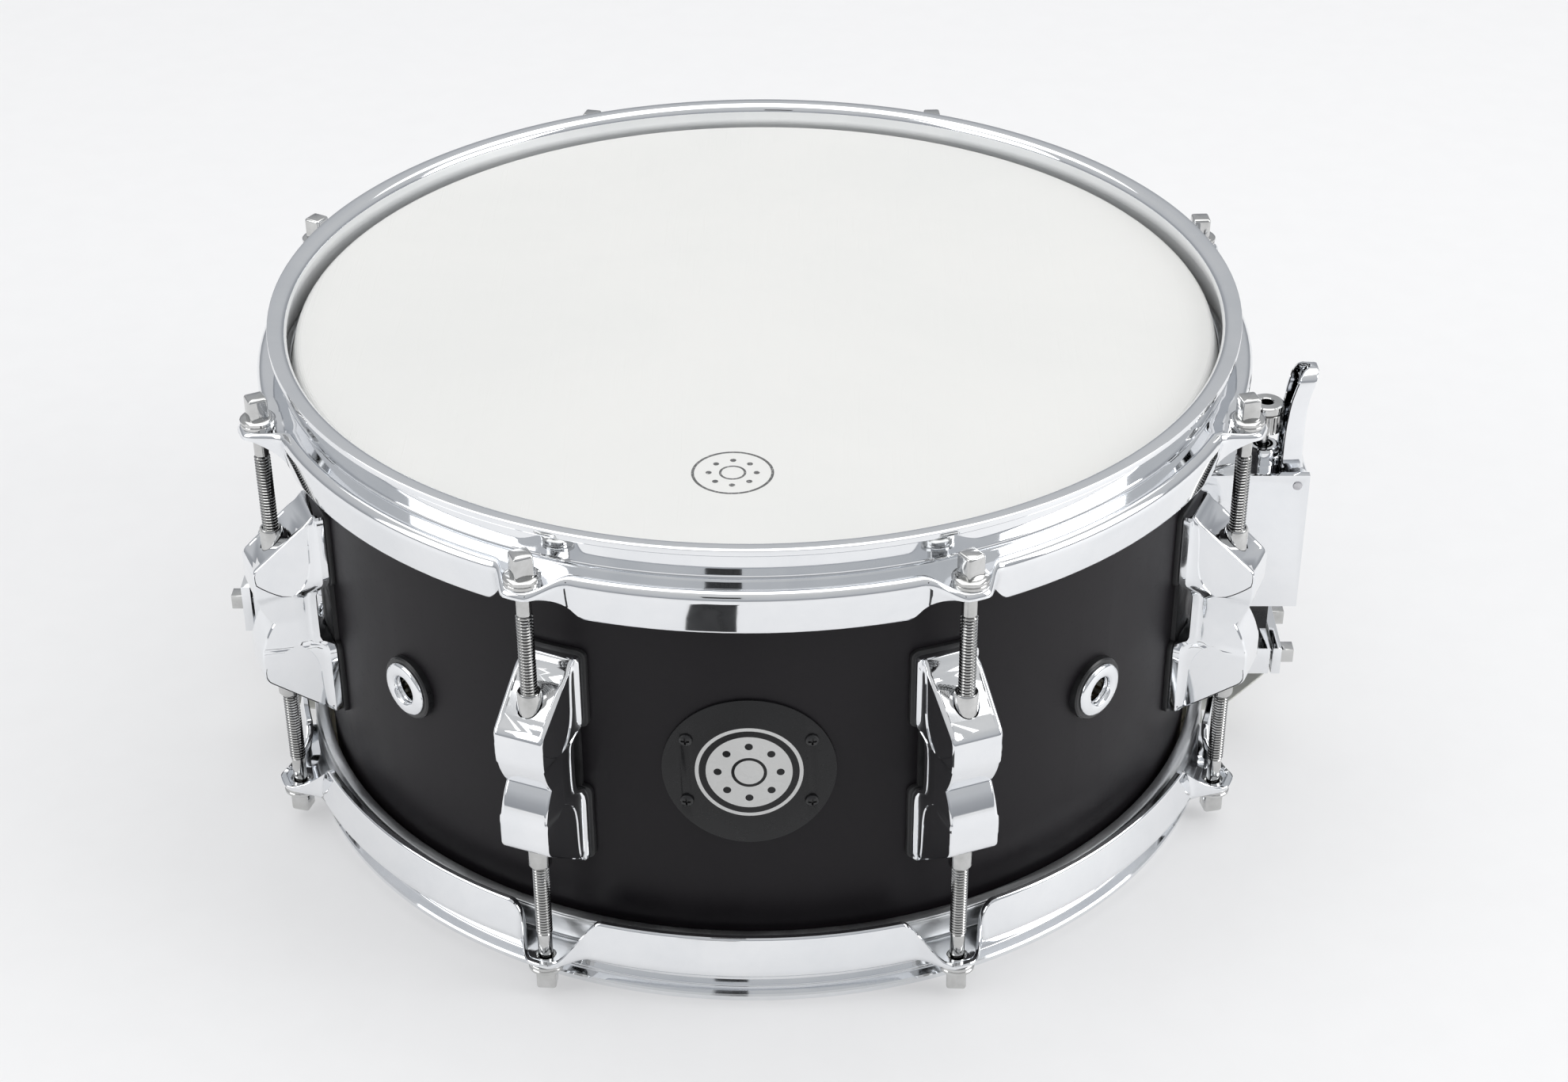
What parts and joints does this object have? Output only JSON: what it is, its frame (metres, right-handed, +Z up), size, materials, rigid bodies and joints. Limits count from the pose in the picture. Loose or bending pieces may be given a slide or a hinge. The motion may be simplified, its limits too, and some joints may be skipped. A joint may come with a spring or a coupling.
{
  "type": "snare drum",
  "caption": "Small snare drum with a black wooden shell, chrome flanged hoops held by lugs and square headed tension rods, a white head, and snares with a side lever throw-off.",
  "frame": {"origin": "middle of the drum in the plane of the lower hoop lip that it stands on", "axes": "+Z up along the shell axis to the batter head, +X towards the snare strainer, -Y towards the front plate"},
  "size_m": [0.372, 0.3336, 0.1677],
  "materials": {
    "shell_lacquer": "matte black lacquer over wood plies",
    "coated_film": "thin white coated polyester film",
    "clear_film": "hazy thin polyester film",
    "hoop_alloy": "satin rolled aluminium",
    "chrome": "bright chrome plating",
    "nickel": "bright nickel plated steel",
    "zinc_steel": "zinc plated steel",
    "rubber": "matte black rubber",
    "black_plastic": "black moulded nylon",
    "black_metal": "satin black enamel on thin brass",
    "strap_film": "milky polyester ribbon"
  },
  "bodies": {
    "drum": {"shell": "shell_lacquer", "batter_head_film": "coated_film", "snare_head_film": "clear_film", "batter_flesh_hoop": "hoop_alloy", "snare_flesh_hoop": "hoop_alloy", "batter_hoop": "chrome", "snare_hoop": "chrome", "lug_gaskets": "rubber", "lug_screws": "zinc_steel", "screw_washers": "zinc_steel", "swivel_nuts": "nickel", "batter_rod_washers": "nickel", "snare_rod_washers": "nickel", "vent_grommets": "chrome", "vent_washers": "black_plastic", "vent_lock_rings": "zinc_steel", "badge_plate": "black_metal", "badge_screws": "black_metal", "strainer_housing": "chrome", "strainer_screws": "zinc_steel", "lever_pin": "zinc_steel", "butt_body": "chrome", "butt_clamp_plate": "chrome", "butt_clamp_screws": "nickel", "butt_screws": "zinc_steel", "butt_strap": "strap_film", "lug_1": "chrome", "lug_2": "chrome", "lug_3": "chrome", "lug_4": "chrome", "lug_5": "chrome", "lug_6": "chrome", "lug_7": "chrome", "lug_8": "chrome"},
    "lever": {"throw_lever": "chrome"},
    "slide": {"slide_block": "black_plastic"},
    "knob": {"tuning_knob": "nickel"},
    "clamp": {"snare_clamp": "chrome", "clamp_plate": "chrome", "clamp_screws": "nickel"},
    "snares": {"snare_wires": "zinc_steel", "snare_end_plates": "zinc_steel", "strainer_strap": "strap_film"},
    "batter_rod_1": {"batter_rod_1": "nickel"},
    "batter_rod_2": {"batter_rod_2": "nickel"},
    "batter_rod_3": {"batter_rod_3": "nickel"},
    "batter_rod_4": {"batter_rod_4": "nickel"},
    "batter_rod_5": {"batter_rod_5": "nickel"},
    "batter_rod_6": {"batter_rod_6": "nickel"},
    "batter_rod_7": {"batter_rod_7": "nickel"},
    "batter_rod_8": {"batter_rod_8": "nickel"},
    "snare_rod_1": {"snare_rod_1": "nickel"},
    "snare_rod_2": {"snare_rod_2": "nickel"},
    "snare_rod_3": {"snare_rod_3": "nickel"},
    "snare_rod_4": {"snare_rod_4": "nickel"},
    "snare_rod_5": {"snare_rod_5": "nickel"},
    "snare_rod_6": {"snare_rod_6": "nickel"},
    "snare_rod_7": {"snare_rod_7": "nickel"},
    "snare_rod_8": {"snare_rod_8": "nickel"}
  },
  "joints": [
    {"name": "batter_rod_1_turn", "type": "hinge", "parent": "drum", "child": "batter_rod_1", "pos_m": [0.06437, -0.1554, 0.15], "axis": [0, 0, 1], "continuous": true},
    {"name": "batter_rod_2_turn", "type": "hinge", "parent": "drum", "child": "batter_rod_2", "pos_m": [0.1554, -0.06437, 0.15], "axis": [0, 0, 1], "continuous": true},
    {"name": "batter_rod_3_turn", "type": "hinge", "parent": "drum", "child": "batter_rod_3", "pos_m": [0.1554, 0.06437, 0.15], "axis": [0, 0, 1], "continuous": true},
    {"name": "batter_rod_4_turn", "type": "hinge", "parent": "drum", "child": "batter_rod_4", "pos_m": [0.06437, 0.1554, 0.15], "axis": [0, 0, 1], "continuous": true},
    {"name": "batter_rod_5_turn", "type": "hinge", "parent": "drum", "child": "batter_rod_5", "pos_m": [-0.06437, 0.1554, 0.15], "axis": [0, 0, 1], "continuous": true},
    {"name": "batter_rod_6_turn", "type": "hinge", "parent": "drum", "child": "batter_rod_6", "pos_m": [-0.1554, 0.06437, 0.15], "axis": [0, 0, 1], "continuous": true},
    {"name": "batter_rod_7_turn", "type": "hinge", "parent": "drum", "child": "batter_rod_7", "pos_m": [-0.1554, -0.06437, 0.15], "axis": [0, 0, 1], "continuous": true},
    {"name": "batter_rod_8_turn", "type": "hinge", "parent": "drum", "child": "batter_rod_8", "pos_m": [-0.06437, -0.1554, 0.15], "axis": [0, 0, 1], "continuous": true},
    {"name": "snare_rod_1_turn", "type": "hinge", "parent": "drum", "child": "snare_rod_1", "pos_m": [0.06437, -0.1554, 0.0177], "axis": [0, 0, -1], "continuous": true},
    {"name": "snare_rod_2_turn", "type": "hinge", "parent": "drum", "child": "snare_rod_2", "pos_m": [0.1554, -0.06437, 0.0177], "axis": [0, 0, -1], "continuous": true},
    {"name": "snare_rod_3_turn", "type": "hinge", "parent": "drum", "child": "snare_rod_3", "pos_m": [0.1554, 0.06437, 0.0177], "axis": [0, 0, -1], "continuous": true},
    {"name": "snare_rod_4_turn", "type": "hinge", "parent": "drum", "child": "snare_rod_4", "pos_m": [0.06437, 0.1554, 0.0177], "axis": [0, 0, -1], "continuous": true},
    {"name": "snare_rod_5_turn", "type": "hinge", "parent": "drum", "child": "snare_rod_5", "pos_m": [-0.06437, 0.1554, 0.0177], "axis": [0, 0, -1], "continuous": true},
    {"name": "snare_rod_6_turn", "type": "hinge", "parent": "drum", "child": "snare_rod_6", "pos_m": [-0.1554, 0.06437, 0.0177], "axis": [0, 0, -1], "continuous": true},
    {"name": "snare_rod_7_turn", "type": "hinge", "parent": "drum", "child": "snare_rod_7", "pos_m": [-0.1554, -0.06437, 0.0177], "axis": [0, 0, -1], "continuous": true},
    {"name": "snare_rod_8_turn", "type": "hinge", "parent": "drum", "child": "snare_rod_8", "pos_m": [-0.06437, -0.1554, 0.0177], "axis": [0, 0, -1], "continuous": true},
    {"name": "lever_throw", "type": "hinge", "parent": "drum", "child": "lever", "pos_m": [0.184, 0, 0.1], "axis": [0, 1, 0], "range_deg": [0, 95]},
    {"name": "release_slide", "type": "slide", "parent": "drum", "child": "slide", "axis": [0, 0, 1], "range_m": [-0.0055, 0], "deforming": ["strainer_strap"]},
    {"name": "knob_turn", "type": "hinge", "parent": "slide", "child": "knob", "pos_m": [0.173, 0, 0.1], "axis": [0, 0, 1], "range_deg": [-1081, 1081]},
    {"name": "clamp_fine_slide", "type": "slide", "parent": "slide", "child": "clamp", "axis": [0, 0, 1], "range_m": [-0.0021, 0.0021]},
    {"name": "snare_drop", "type": "slide", "parent": "drum", "child": "snares", "axis": [0, 0, 1], "range_m": [-0.0019, 0], "deforming": ["butt_strap"]}
  ],
  "couplings": [
    {"joint": "lever_throw", "follows": "release_slide", "rad_per_m": -301.46},
    {"joint": "snare_drop", "follows": "release_slide", "ratio": 0.32727},
    {"joint": "knob_turn", "follows": "clamp_fine_slide", "rad_per_m": 8976}
  ]
}
